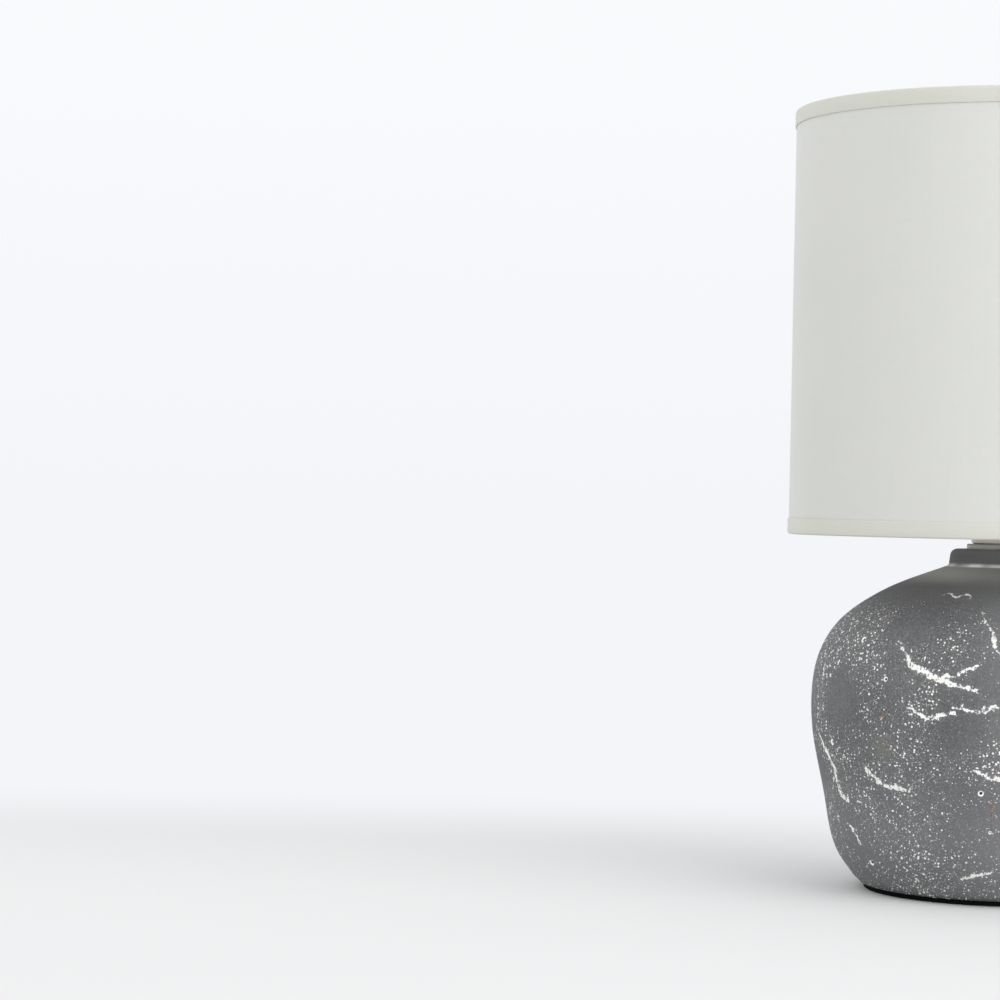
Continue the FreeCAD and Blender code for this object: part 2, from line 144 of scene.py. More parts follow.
# ---- node helpers ---------------------------------------------------------------------------
class Nodes:
    """Short way to write a material: add(kind, inputs, settings) gives a node already wired."""

    def __init__(self, name):
        self.material = bpy.data.materials.new(name)
        self.material.use_nodes = True
        self.tree = self.material.node_tree
        self.tree.nodes.clear()
        self.out = self.tree.nodes.new("ShaderNodeOutputMaterial")
        self.shader = self.tree.nodes.new("ShaderNodeBsdfPrincipled")
        self.tree.links.new(self.shader.outputs[0], self.out.inputs["Surface"])
        self.coords = self.tree.nodes.new("ShaderNodeTexCoord").outputs["Object"]

    def add(self, kind, inputs=None, **settings):
        node = self.tree.nodes.new(kind)
        for key, value in settings.items():
            setattr(node, key, value)
        for key, value in (inputs or {}).items():
            self.put(node.inputs[key], value)
        return node

    def put(self, socket, value):
        if isinstance(value, bpy.types.Node):
            value = value.outputs[0]
        if isinstance(value, bpy.types.NodeSocket):
            self.tree.links.new(value, socket)
        else:
            socket.default_value = value

    def set(self, **values):
        for key, value in values.items():
            self.put(self.shader.inputs[key.replace("_", " ")], value)

    def math(self, operation, a, b=0.0, c=0.0, clamp=False):
        return self.add("ShaderNodeMath", {0: a, 1: b, 2: c}, operation=operation, use_clamp=clamp).outputs[0]

    def noise(self, scale, detail=2.0, rough=0.5, vector=None, distortion=0.0, dims="3D"):
        return self.add("ShaderNodeTexNoise", {
            "Vector": vector or self.coords, "Scale": scale, "Detail": detail,
            "Roughness": rough, "Distortion": distortion}, noise_dimensions=dims).outputs[0]

    def voronoi(self, scale, feature="F1", vector=None, randomness=1.0):
        return self.add("ShaderNodeTexVoronoi", {
            "Vector": vector or self.coords, "Scale": scale, "Randomness": randomness}, feature=feature)

    def ramp(self, value, low, high, to_low=0.0, to_high=1.0):
        """Smooth step from to_low at low to to_high at high."""
        return self.add("ShaderNodeMapRange", {
            "Value": value, "From Min": low, "From Max": high, "To Min": to_low, "To Max": to_high},
            interpolation_type="SMOOTHSTEP").outputs[0]

    def mix(self, factor, a, b):
        """Colour mix."""
        node = self.add("ShaderNodeMix", data_type="RGBA")
        self.put(node.inputs[0], factor)
        self.put(node.inputs[6], a)
        self.put(node.inputs[7], b)
        return node.outputs[2]

    def attribute(self, name):
        return self.add("ShaderNodeAttribute", attribute_name=name, attribute_type="GEOMETRY").outputs["Fac"]

    def axis(self, name):
        return self.add("ShaderNodeSeparateXYZ", {0: self.coords}).outputs[name]

    def bump(self, height, strength, distance, normal=None):
        inputs = {"Height": height, "Strength": strength, "Distance": distance}
        if normal is not None:
            inputs["Normal"] = normal
        return self.add("ShaderNodeBump", inputs).outputs[0]


def grey(v):
    return (v, v, v, 1.0)


def rgb(r, g, b):
    return (r, g, b, 1.0)


def dress(material, *names):
    """Give carried-over CAD nodes a material of this script."""
    for name in names:
        mesh = NODES[name].data
        mesh.materials.clear()
        mesh.materials.append(material)


# ---- materials ------------------------------------------------------------------------------
def stoneware_material():
    """Cast stoneware: grey body, chalk-filled crazing, pale grit, pinholes, a few rust specks."""
    n = Nodes("stoneware")
    height = n.axis("Z")
    # slow changes of the grey: clouds, and a smoother, darker band round the shoulder and the collar
    clouds = n.noise(22.0, 3.0, 0.55)
    grain = n.noise(900.0, 2.0, 0.6)
    patches = n.noise(60.0, 4.0, 0.6, distortion=0.4)
    base = n.mix(n.ramp(clouds, 0.32, 0.68), rgb(0.114, 0.116, 0.118), rgb(0.155, 0.157, 0.160))
    base = n.mix(n.ramp(patches, 0.35, 0.75, 0.0, 0.55), base, rgb(0.118, 0.120, 0.121))
    base = n.mix(n.ramp(grain, 0.50, 0.66, 0.0, 0.60), base, rgb(0.250, 0.253, 0.255))
    base = n.mix(n.ramp(n.noise(1250.0, 3.0, 0.7), 0.52, 0.36, 0.0, 0.70), base, rgb(0.062, 0.063, 0.064))
    # painted light: the lower part of the body is lightened, standing in for light thrown up from the floor
    base = n.mix(n.ramp(height, 0.085, 0.020, 0.0, 0.32), base, rgb(0.240, 0.243, 0.250))
    # painted light: the side facing the camera, near the lamp's axis, is lightened as if lit more strongly
    front = n.math("MULTIPLY", n.ramp(n.axis("X"), -0.040, 0.000, 0.0, 0.40),
                   n.ramp(n.axis("X"), 0.070, 0.020, 0.2, 1.0))
    base = n.mix(front, base, rgb(0.230, 0.233, 0.240))
    warm = n.ramp(n.noise(9.0, 2.0), 0.56, 0.70, 0.0, 0.45)
    base = n.mix(warm, base, rgb(0.165, 0.160, 0.148))
    neck = n.ramp(height, 0.140, 0.152)
    base = n.mix(n.math("MULTIPLY", neck, 0.6), base, rgb(0.126, 0.126, 0.122))
    # painted light: a lighter band on the top of the shoulder under the collar, where light falls from above,
    # lighter on its left than on its right
    painted_shoulder_light = n.math("MULTIPLY", n.ramp(height, 0.1515, 0.1590, 0.0, 0.9),
                     n.ramp(n.noise(34.0, 3.0, 0.6), 0.35, 0.6, 0.8, 1.0))
    painted_shoulder_light = n.math("MULTIPLY", painted_shoulder_light, n.ramp(n.axis("X"), -0.036, -0.008, 1.0, 0.52))
    base = n.mix(painted_shoulder_light, base, rgb(0.400, 0.394, 0.370))
    collar = n.ramp(height, COLLAR_FOOT - 0.0004, COLLAR_FOOT + 0.0008)
    base = n.mix(collar, base, rgb(0.145, 0.146, 0.147))
    # painted shadow: the lowest few mm of the body darken almost to black, where the foot meets the floor
    base = n.mix(n.ramp(height, 0.0050, 0.0023, 0.0, 0.60), base, rgb(0.03, 0.03, 0.03))
    # pale grit: three sizes of dots, thick in some places and thin in others
    wide = n.ramp(n.noise(20.0, 3.0, 0.6, distortion=0.6), 0.34, 0.60, 0.45, 1.0)
    bare = n.ramp(n.attribute("bare"), -5.0, 8.0, 0.25, 1.0)
    clear = n.ramp(height, 0.136, 0.154, 1.0, 0.0)
    density = n.math("MULTIPLY", n.math("MULTIPLY", wide, bare), clear)
    density = n.math("ADD", density, n.ramp(height, 0.034, 0.008, 0.0, 0.30))
    bent = n.add("ShaderNodeTexNoise", {"Vector": n.coords, "Scale": 420.0, "Detail": 2.0}).outputs["Color"]
    bend = 0.0011
    bent = n.add("ShaderNodeVectorMath", {0: bent, 1: (bend, bend, bend), 2: n.coords},
                 operation="MULTIPLY_ADD")
    dots = None
    for scale, reach_max, share in ((1300.0, 0.40, 0.55), (680.0, 0.375, 1.0), (330.0, 0.21, 1.0)):
        cells = n.voronoi(scale, vector=bent.outputs[0])
        size = n.add("ShaderNodeSeparateColor", {0: cells.outputs["Color"]}).outputs[0]
        spread = n.ramp(size, 0.42, 0.92)
        reach = n.math("MULTIPLY", n.math("MULTIPLY", spread, density), reach_max)
        dot = n.ramp(n.math("SUBTRACT", reach, cells.outputs["Distance"]), -0.015, 0.03, 0.0, share)
        dots = dot if dots is None else n.math("MAXIMUM", dots, dot)
    # crazing filled with white: a distance kept on the mesh, roughened here
    ragged = n.math("MULTIPLY_ADD", n.noise(760.0, 4.0, 0.7), 3.1, -1.55)
    coarse = n.math("MULTIPLY_ADD", n.noise(230.0, 3.0, 0.65), 2.6, -1.22)
    reach = n.math("ADD", n.math("ADD", n.attribute("vein"), ragged), coarse)
    vein = n.ramp(reach, -0.10, 0.14, 1.0, 0.0)
    gaps = n.ramp(n.noise(420.0, 3.0, 0.7), 0.415, 0.455, 0.05, 1.0)
    vein = n.math("MULTIPLY", vein, gaps)
    halo = n.ramp(n.math("ADD", n.attribute("vein"), coarse), 0.0, 2.0, 0.3, 0.0)
    # pinholes: a chalky rim, and painted shade that darkens their bottoms to black
    pit = n.attribute("pit")
    rim = n.ramp(pit, 0.15, -0.05)
    hole = n.ramp(pit, -0.42, -0.62)
    line = n.attribute("line")
    white = n.math("MAXIMUM", n.math("MAXIMUM", dots, vein), n.math("MAXIMUM", rim, line))
    chalk = n.mix(n.ramp(n.noise(90.0, 2.0), 0.35, 0.65), rgb(0.93, 0.94, 0.93), rgb(0.86, 0.85, 0.80))
    colour = n.mix(n.math("MULTIPLY", halo, 0.35), base, rgb(0.25, 0.25, 0.25))
    colour = n.mix(white, colour, chalk)
    colour = n.mix(hole, colour, rgb(0.008, 0.008, 0.008))
    rust = n.attribute("rust")
    rust = n.math("MULTIPLY", n.ramp(n.math("ADD", rust, ragged), 0.1, -0.4), 0.8)
    colour = n.mix(rust, colour, rgb(0.36, 0.16, 0.07))
    seam_gap = n.math("ADD", n.attribute("seam"), n.math("MULTIPLY", ragged, 0.4))
    colour = n.mix(n.ramp(seam_gap, 0.7, 0.1, 0.0, 0.30), colour, rgb(0.055, 0.050, 0.045))
    specks = n.ramp(n.noise(360.0, 2.0), 0.58, 0.64, 0.0, 0.8)
    specks = n.math("MULTIPLY", specks, n.ramp(seam_gap, 1.1, 0.4))
    colour = n.mix(specks, colour, rgb(0.42, 0.20, 0.09))
    stain = n.ramp(n.math("ADD", n.attribute("stain"), coarse), 4.0, 0.0, 0.0, 0.22)
    colour = n.mix(stain, colour, rgb(0.23, 0.22, 0.13))
    n.set(Base_Color=colour)
    rough = n.ramp(grain, 0.3, 0.7, 0.66, 0.80)
    n.set(Roughness=n.math("MULTIPLY_ADD", white, 0.12, rough))
    n.set(**{"Specular_IOR_Level": 0.35})
    fine = n.bump(grain, 0.25, 0.0002)
    relief = n.bump(n.noise(240.0, 4.0, 0.6), 0.30, 0.0004, fine)
    n.set(Normal=n.bump(white, 0.35, 0.00010, relief))
    return n.material


def cloth_material(name, colour, deep, threads_m=0.00042, strength=0.35):
    """Plain weave on a cylinder: warp runs up, weft runs round; slubs vary both."""
    n = Nodes(name)
    x, y, z = n.axis("X"), n.axis("Y"), n.axis("Z")
    turn = n.math("ARCTAN2", y, x)
    slub = n.noise(120.0, 3.0, 0.6)
    round_way = n.math("MULTIPLY_ADD", turn, SHADE_R / threads_m, n.math("MULTIPLY", slub, 1.2))
    up_way = n.math("MULTIPLY_ADD", z, 1.0 / threads_m, n.math("MULTIPLY", slub, 1.2))
    warp = n.math("SINE", n.math("MULTIPLY", round_way, math.pi))
    weft = n.math("SINE", n.math("MULTIPLY", up_way, math.pi))
    over = n.math("MULTIPLY", warp, weft)
    weave = n.math("MULTIPLY_ADD", over, 0.5, 0.5)
    # long faint streaks where a thread is thicker, mostly along the weft
    along = n.add("ShaderNodeCombineXYZ", {
        0: n.math("MULTIPLY", turn, 3.0), 1: 0.0, 2: n.math("MULTIPLY", z, 900.0)})
    weft_streak = n.noise(1.0, 3.0, 0.6, vector=along.outputs[0])
    upright = n.add("ShaderNodeCombineXYZ", {
        0: n.math("MULTIPLY", turn, 110.0), 1: 0.0, 2: n.math("MULTIPLY", z, 12.0)})
    warp_streak = n.noise(1.0, 3.0, 0.6, vector=upright.outputs[0])
    tone = n.mix(n.ramp(weft_streak, 0.35, 0.70, 0.0, 0.14), colour, deep)
    tone = n.mix(n.ramp(warp_streak, 0.42, 0.70, 0.0, 0.14), tone, deep)
    tone = n.mix(n.math("MULTIPLY", weave, 0.10), tone, deep)
    tone = n.mix(n.ramp(n.noise(14.0, 2.0), 0.40, 0.72, 0.0, 0.30), tone, deep)
    n.set(Base_Color=tone)
    n.set(Roughness=n.ramp(weft_streak, 0.2, 0.8, 0.82, 0.92))
    n.set(Sheen_Weight=0.35, Sheen_Roughness=0.4)
    n.set(**{"Specular_IOR_Level": 0.2})
    low = n.bump(weft_streak, 0.08, 0.0003)
    n.set(Normal=n.bump(weave, strength, 0.00012, low))
    return n.material


def felt_material():
    n = Nodes("black_felt")
    fuzz = n.noise(1600.0, 4.0, 0.7)
    lumps = n.noise(160.0, 3.0, 0.6)
    tone = n.mix(n.ramp(fuzz, 0.35, 0.75), grey(0.003), rgb(0.012, 0.012, 0.013))
    n.set(Base_Color=tone, Roughness=0.95)
    n.set(**{"Specular_IOR_Level": 0.05})
    n.set(Normal=n.bump(fuzz, 0.8, 0.0004, n.bump(lumps, 0.3, 0.0005)))
    return n.material


def film_material():
    """White laminate inside the shade."""
    n = Nodes("shade_liner")
    mottle = n.noise(70.0, 3.0, 0.5)
    n.set(Base_Color=n.mix(mottle, rgb(0.83, 0.83, 0.81), rgb(0.78, 0.78, 0.76)))
    n.set(Roughness=n.ramp(n.noise(300.0), 0.3, 0.7, 0.42, 0.55))
    n.set(Normal=n.bump(n.noise(180.0, 2.0), 0.05, 0.0004))
    return n.material


def coated_wire_material():
    n = Nodes("white_wire")
    peel = n.noise(900.0, 2.0, 0.5)
    n.set(Base_Color=n.mix(n.noise(60.0), rgb(0.80, 0.80, 0.77), rgb(0.74, 0.74, 0.71)))
    n.set(Roughness=n.ramp(peel, 0.3, 0.7, 0.30, 0.42), Normal=n.bump(peel, 0.15, 0.0003))
    return n.material


def metal_material(name, colour, dark, rough_low, rough_high, along=(1.0, 1.0, 1.0), wear=0.25):
    """Plated or turned metal with fine scratches stretched along one direction."""
    n = Nodes(name)
    stretch = n.add("ShaderNodeVectorMath", {0: n.coords, 1: along}, operation="MULTIPLY").outputs[0]
    scratches = n.noise(2600.0, 3.0, 0.6, vector=stretch)
    tarnish = n.noise(210.0, 4.0, 0.6)
    tone = n.mix(n.ramp(tarnish, 0.40, 0.75, 0.0, wear), colour, dark)
    n.set(Base_Color=tone, Metallic=1.0)
    n.set(Roughness=n.ramp(scratches, 0.3, 0.7, rough_low, rough_high))
    n.set(Normal=n.bump(scratches, 0.12, 0.0001))
    return n.material


def moulded_material(name, colour, shade, rough_low=0.28, rough_high=0.40):
    """Moulded plastic: faint flow marks, fine orange peel and a slightly uneven gloss."""
    n = Nodes(name)
    flow = n.noise(45.0, 3.0, 0.5, distortion=1.2)
    peel = n.noise(1400.0, 2.0, 0.5)
    n.set(Base_Color=n.mix(n.ramp(flow, 0.35, 0.7, 0.0, 0.6), colour, shade))
    n.set(Roughness=n.ramp(flow, 0.3, 0.7, rough_low, rough_high), Normal=n.bump(peel, 0.10, 0.0002))
    return n.material


def fibreboard_material():
    n = Nodes("fibreboard")
    fibres = n.noise(700.0, 5.0, 0.75, distortion=0.8)
    n.set(Base_Color=n.mix(fibres, rgb(0.24, 0.17, 0.10), rgb(0.13, 0.09, 0.06)), Roughness=0.85)
    n.set(Normal=n.bump(fibres, 0.4, 0.0003))
    return n.material


def clear_glass_material():
    n = Nodes("bulb_clear_glass")
    smears = n.noise(35.0, 3.0, 0.5)
    n.set(Base_Color=rgb(0.97, 0.98, 0.98), Roughness=n.ramp(smears, 0.4, 0.8, 0.01, 0.05))
    n.set(Transmission_Weight=1.0, IOR=1.45)
    n.set(Normal=n.bump(n.noise(30.0, 1.0), 0.02, 0.001))
    return n.material


def dark_glass_material():
    n = Nodes("black_glass")
    n.set(Base_Color=n.mix(n.noise(300.0), grey(0.012), rgb(0.03, 0.025, 0.035)), Roughness=0.12)
    n.set(Normal=n.bump(n.noise(260.0, 2.0), 0.1, 0.0003))
    return n.material


def phosphor_material():
    n = Nodes("phosphor")
    grain = n.noise(1500.0, 3.0, 0.6)
    n.set(Base_Color=n.mix(grain, rgb(0.86, 0.60, 0.10), rgb(0.72, 0.46, 0.06)), Roughness=0.55)
    n.set(Normal=n.bump(grain, 0.3, 0.0002))
    return n.material


# ---- the stoneware body -----------------------------------------------------------------------
STAR_Z = 0.085           # every outer point is seen from this height on the axis
COLLAR_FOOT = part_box("ceramic_body")[1].z - 0.0084
ROW_STEP = 0.0012
BODY_SEGMENTS = 320


def outer_profile():
    """Outline of the body's outside, from its foot to the neck hole, read off the CAD mesh."""
    co = np.array([v.co for v in NODES["ceramic_body"].data.vertices])
    r = np.hypot(co[:, 0], co[:, 1])
    back = (co[:, 1] > 0.05) & (co[:, 2] < 0.05) & (np.abs(co[:, 0]) < 0.012)
    r, z = r[~back], co[~back, 2]
    angle = np.arctan2(z - STAR_Z, r)
    far = np.hypot(r, z - STAR_Z)
    kept = {}
    for a, f in zip(angle, far):
        step = round(a / math.radians(1.0))
        kept[step] = max(kept.get(step, 0), f)
    ring = sorted({(round(a, 5), round(f, 6)) for a, f in zip(angle, far)
                   if f > kept[round(a / math.radians(1.0))] - 0.0012 and f > 0.075})
    return [(f * math.cos(a), STAR_Z + f * math.sin(a)) for a, f in ring]


def evenly(points, step):
    """Points about step apart along an outline, keeping its first and last."""
    p = np.array(points)
    along = np.concatenate([[0], np.cumsum(np.linalg.norm(np.diff(p, axis=0), axis=1))])
    at = np.linspace(0, along[-1], max(2, round(along[-1] / step) + 1))
    return np.stack([np.interp(at, along, p[:, k]) for k in range(2)], axis=1)


# The main cracks of the front as strokes: (across, up, heading in degrees, length mm, widest half
# width mm). across is 0 at the left outline and 1 at the lamp's axis, up is 0 at the foot and 1 at the
# collar, both judged to a twentieth. A heading of 0 runs right and a minus one runs down.
# crack_stroke makes up the path.
CRACK_STROKES = [
    (0.45, 0.80, -30, 50, 1.3), (0.70, 0.70, 15, 20, 0.6), (0.55, 0.60, 0, 25, 0.9),
    (0.80, 0.60, 15, 25, 0.7), (0.55, 0.95, 0, 25, 0.5), (0.90, 0.90, -50, 25, 0.9),
    (0.05, 0.50, -50, 45, 1.5), (0.30, 0.40, -15, 30, 1.1), (0.85, 0.40, -15, 25, 1.0),
    (0.05, 0.75, -65, 15, 0.5), (0.80, 0.05, 25, 20, 0.7), (0.15, 0.20, -45, 15, 0.7),
]
FRONT_TURN = -10.0                  # the side that faces the camera, in degrees round from the front
FOOT_MM, SHOULDER_MM = 6.0, 156.0   # the heights that up = 0 and up = 1 stand for
MM_AS_DEGREES = 0.65                # one mm round the belly, in degrees
CRACK_STEP_MM = 7.0                 # a stroke changes its heading about this often
PINHOLE_COUNT = 37
# Spots are (degrees round from the front, height mm, radius mm).
SEAM_TURN = -10.0                   # a cast body has two mould seams, opposite each other
RUST = [(-45, 90, 1.3), (SEAM_TURN, 55, 0.5), (SEAM_TURN, 40, 0.6)]
STAINS = [(-45, 75, 3.0), (120, 60, 4.0), (60, 110, 3.0)]
SEAMS = [[(turn, low, 0.1), (turn, (low + high) / 2, 0.2), (turn, high, 0.1)]
         for turn, low, high in ((SEAM_TURN, 35, 65), (SEAM_TURN + 180, 20, 120))]
# Places with hardly any grit, spread round the body.
BARE = [(22 * i - 85, 60 + (37 * i) % 85, 8 + (5 * i) % 7) for i in range(16)]


def crack_stroke(stroke, rng):
    """One main crack: a wandering run of (degrees, height mm, half width mm), thin at both ends."""
    across, up, heading, length, widest = stroke
    degrees = FRONT_TURN - math.degrees(math.asin(1.0 - across))
    height = FOOT_MM + up * (SHOULDER_MM - FOOT_MM)
    steps = max(2, round(length / CRACK_STEP_MM))
    run = [(degrees, height, 0.3)]
    for i in range(1, steps + 1):
        way = math.radians(heading) + rng.uniform(-0.5, 0.5)
        degrees += math.cos(way) * length / steps * MM_AS_DEGREES
        height += math.sin(way) * length / steps
        swell = math.sin(math.pi * i / (steps + 1)) * rng.uniform(0.6, 1.0)
        run.append((degrees, height, 0.2 + widest * swell))
    return run


def more_cracks(rng):
    """Forking random cracks for the sides that the front view doesn't show."""
    runs = []
    starts = [(12, 92), (24, 136), (30, 40), (48, 104), (62, 70), (80, 128), (84, 28), (104, 90),
              (118, 52), (132, 118), (150, 80), (164, 30), (176, 106), (196, 62), (210, 132), (226, 96),
              (238, 40), (252, 112), (18, 64), (38, 72), (56, 118), (72, 44), (94, 62), (112, 130),
              (126, 84), (142, 42), (158, 130), (186, 80), (204, 108), (218, 50), (244, 72)]
    for degrees, height in starts:
        heading = rng.uniform(-0.9, 0.9) + (math.pi if rng.random() < 0.5 else 0)
        for branch in range(rng.choice((1, 2, 2))):
            at, up, way = degrees, height, heading + branch * rng.uniform(0.5, 1.1)
            run = [(at, up, rng.uniform(0.2, 0.6))]
            for _ in range(rng.randint(3, 7)):
                way += rng.uniform(-0.55, 0.55)
                at += math.cos(way) * 5.0
                up += math.sin(way) * 6.0
                if not 6 < up < 150 or not 8 < at < 256:
                    break
                run.append((at, up, rng.uniform(0.15, 1.3)))
            if len(run) > 1:
                run[-1] = (run[-1][0], run[-1][1], 0.0)
                runs.append(run)
    return runs


def spurs(runs, rng):
    """Short side cracks that leave the long ones at an angle, mostly where they are wide."""
    extra = []
    for run in runs:
        for (d0, h0, w0), (d1, h1, _) in zip(run, run[1:]):
            if rng.random() > 0.35 + 0.5 * w0 or h0 > 147:
                continue
            way = math.atan2(h1 - h0, d1 - d0) + rng.choice((-1, 1)) * rng.uniform(0.5, 1.2)
            share = rng.uniform(0.1, 0.9)
            d, h = d0 + (d1 - d0) * share, h0 + (h1 - h0) * share
            length = rng.uniform(1.5, 4.0)
            extra.append([
                (d, h, 0.35),
                (d + math.cos(way) * length * 0.5, h + math.sin(way) * length * 0.5, 0.25),
                (d + math.cos(way) * length * 0.8, h + math.sin(way + 0.5) * length, 0.05)])
    return extra


def on_body(profile, degrees, height_mm):
    """The point of the outside at this angle from the front and this height."""
    z = height_mm * MM
    r = np.interp(z, profile[:, 1], profile[:, 0])
    turn = math.radians(degrees)
    return np.array([r * math.sin(turn), -r * math.cos(turn), z])


def crack_points(profile, runs, wander=0.9):
    """Closely spaced points along all the cracks, with their half widths, in mm."""
    places, widths = [], []
    for run in runs:
        line = smooth_curve(run, 12 * len(run))
        for degrees, height, half in line:
            # noise.noise, not noise_vector: that one's offset is seeded from the clock
            aside, up = (noise.noise(Vector((degrees * 0.35, height * 0.30, lane))) for lane in (4.0, 14.0))
            places.append(on_body(profile, degrees + wander * aside, height + wander * up) / MM)
            blob = max(0.0, noise.noise(Vector((degrees * 0.9, height * 0.8, 9.0))))
            widths.append(max(0.0, half) * (0.85 + 1.3 * blob))
    return np.array(places), np.array(widths)


def nearest(co, places, widths):
    """For each mesh point, the distance to the closest place less that place's half width, in mm."""
    best = np.full(len(co), 99.0)
    for place, width in zip(places, widths):
        near = np.abs(co[:, 2] - place[2]) < 8.0 + width * 2
        gap = np.linalg.norm(co[near] - place, axis=1) - width
        best[near] = np.minimum(best[near], gap)
    return best


def keep_on_mesh(mesh, name, values):
    layer = mesh.attributes.new(name, "FLOAT", "POINT")
    layer.data.foreach_set("value", np.asarray(values, np.float32))


def body_points(mesh):
    co = np.empty(len(mesh.vertices) * 3)
    mesh.vertices.foreach_get("co", co)
    return co.reshape(-1, 3)


def cast_body():
    """Outside, hollow and foot of the body as one closed mesh, with its cracks and pinholes."""
    rng = random.Random(41)
    outside = outer_profile()
    top_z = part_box("ceramic_body")[1].z
    bore, cover_r, floor_hole_r = 0.0055, 0.058, 0.050
    foot_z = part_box("felt_pad")[1].z
    foot_r = max(r for r, z in outside if z < foot_z + 0.0002)
    # below the foot's own corner the outline would pick up points of the hollow: those are left out
    wall = [(r, z) for r, z in outside if z > foot_z + 0.0036
            and r > foot_r * min(1.0, (STAR_Z - z) / (STAR_Z - foot_z))]
    outside = [(cover_r, foot_z), (foot_r - 0.0035, foot_z), (foot_r - 0.0018, foot_z + 0.0003),
               (foot_r - 0.0006, foot_z + 0.0012), (foot_r + 0.0005, foot_z + 0.0026)] + wall
    reaches_bore = outside[-1][0] <= bore + 0.001
    shell = evenly(outside if reaches_bore else outside + [(bore, top_z)], ROW_STEP)
    profile = shell[shell[:, 1] < COLLAR_FOOT]
    inner_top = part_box("neck_washer")[1].z
    floor_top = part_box("base_cover")[1].z
    inside = evenly([(bore, top_z), (bore, inner_top)], 0.006).tolist()
    inside += smooth_curve([(0.018, inner_top), (0.044, 0.1443), (0.072, 0.1262), (0.083, 0.095),
                            (0.0815, 0.072), (0.076, 0.045), (0.071, 0.027), (0.063, 0.0165),
                            (floor_hole_r, 0.0145)], 24).tolist()
    inside += [(floor_hole_r, floor_top), (cover_r, floor_top), (cover_r, foot_z)]
    outline = [tuple(p) for p in shell[:-1]] + [tuple(p) for p in inside]
    verts, faces = lathe(outline, BODY_SEGMENTS)
    mesh = bpy.data.meshes.new("cast_body")
    mesh.from_pydata(verts, [], faces)
    piece = bpy.data.objects.new("cast_body", mesh)
    bpy.context.scene.collection.objects.link(piece)
    tidy_mesh(mesh, 50)
    runs = [crack_stroke(stroke, rng) for stroke in CRACK_STROKES] + more_cracks(rng)
    places, widths = crack_points(profile, runs + spurs(runs, rng))
    seam_at, seam_half = crack_points(profile, SEAMS, 0.0)
    holes = [(rng.uniform(-90, 260), rng.uniform(8, 135), rng.uniform(0.5, 1.5))
             for _ in range(PINHOLE_COUNT)]
    centres = np.array([on_body(profile, d, h) / MM for d, h, _ in holes])
    radii = np.array([size for _, _, size in holes])
    refine(mesh, places, widths, centres, radii)
    co = body_points(mesh) / MM
    r = np.hypot(co[:, 0], co[:, 1])
    on_outside = np.hypot(r, co[:, 2] - STAR_Z / MM) > 76.0
    vein = np.where(on_outside, nearest(co, places, widths), 99.0)
    pit_gap = np.full(len(co), 9.0)
    sink = np.zeros(len(co))
    for centre, radius in zip(centres, radii):
        away = np.linalg.norm(co - centre, axis=1)
        pit_gap = np.minimum(pit_gap, (away - radius * 1.15) / radius)
        sink += np.where(away < radius, radius * 0.8 * (1 - (away / radius) ** 2), 0)
    way = co - np.array([0, 0, STAR_Z / MM])
    way /= np.linalg.norm(way, axis=1)[:, None]
    # cracks stand a hair proud where they are filled; the cast skin is not quite even
    proud = 0.10 * np.clip(1 - (vein + 0.2) / 0.7, 0, 1)
    hand = np.array([noise.noise(Vector(p * 0.035)) * 0.20 + noise.noise(Vector(p * 0.25)) * 0.035
                     for p in co])
    # both fade out towards the foot and towards the top of the collar
    fade = (np.clip((co[:, 2] - 3.5) / 6.0, 0, 1)
            * np.clip((COLLAR_FOOT / MM + 6.6 - co[:, 2]) / 4.0, 0, 1))
    shift = np.where(on_outside, (hand * fade + proud * fade - sink), 0)
    moved = co + way * shift[:, None]
    mesh.vertices.foreach_set("co", (moved * MM).astype(np.float32).ravel())
    mesh.update()
    keep_on_mesh(mesh, "vein", vein)
    keep_on_mesh(mesh, "pit", pit_gap)
    keep_on_mesh(mesh, "seam", np.where(on_outside, nearest(co, seam_at, seam_half), 99.0))
    for name, spots in (("rust", RUST), ("stain", STAINS), ("bare", BARE)):
        spot_at = np.array([on_body(profile, d, h) / MM for d, h, _ in spots])
        spot_r = np.array([size for _, _, size in spots])
        keep_on_mesh(mesh, name, np.where(on_outside, nearest(co, spot_at, spot_r), 99.0))
    keep_on_mesh(mesh, "line", collar_line(co))
    cut_inlet(piece)
    piece.data.materials.append(stoneware_material())
    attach(piece, "base")
    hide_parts("ceramic_body")
    return piece


def collar_line(co):
    """A whitish line in the corner under the collar, with breaks."""
    level = np.exp(-((co[:, 2] - COLLAR_FOOT / MM) / 0.45) ** 2) * (np.hypot(co[:, 0], co[:, 1]) < 26.5)
    turn = np.arctan2(co[:, 0], -co[:, 1])
    breaks = np.array([0.5 + 0.9 * noise.noise(Vector((math.cos(t) * 3.1, math.sin(t) * 3.1, 2.0)))
                       for t in turn])
    return np.clip(level * breaks * 2.0, 0, 0.9)


def refine(mesh, places, widths, centres, radii):
    """Split the faces near a crack or a pinhole so that its relief has enough points."""
    co = body_points(mesh) / MM
    near = nearest(co, places, widths) < 1.0
    for centre, radius in zip(centres, radii):
        near |= np.linalg.norm(co - centre, axis=1) < radius + 1.0
    work = bmesh.new()
    work.from_mesh(mesh)
    work.verts.ensure_lookup_table()
    chosen = set()
    for face in work.faces:
        if any(near[v.index] for v in face.verts):
            chosen.update(face.edges)
    bmesh.ops.subdivide_edges(work, edges=list(chosen), cuts=1, use_grid_fill=True)
    for face in work.faces:
        face.smooth = True
    work.to_mesh(mesh)
    work.free()


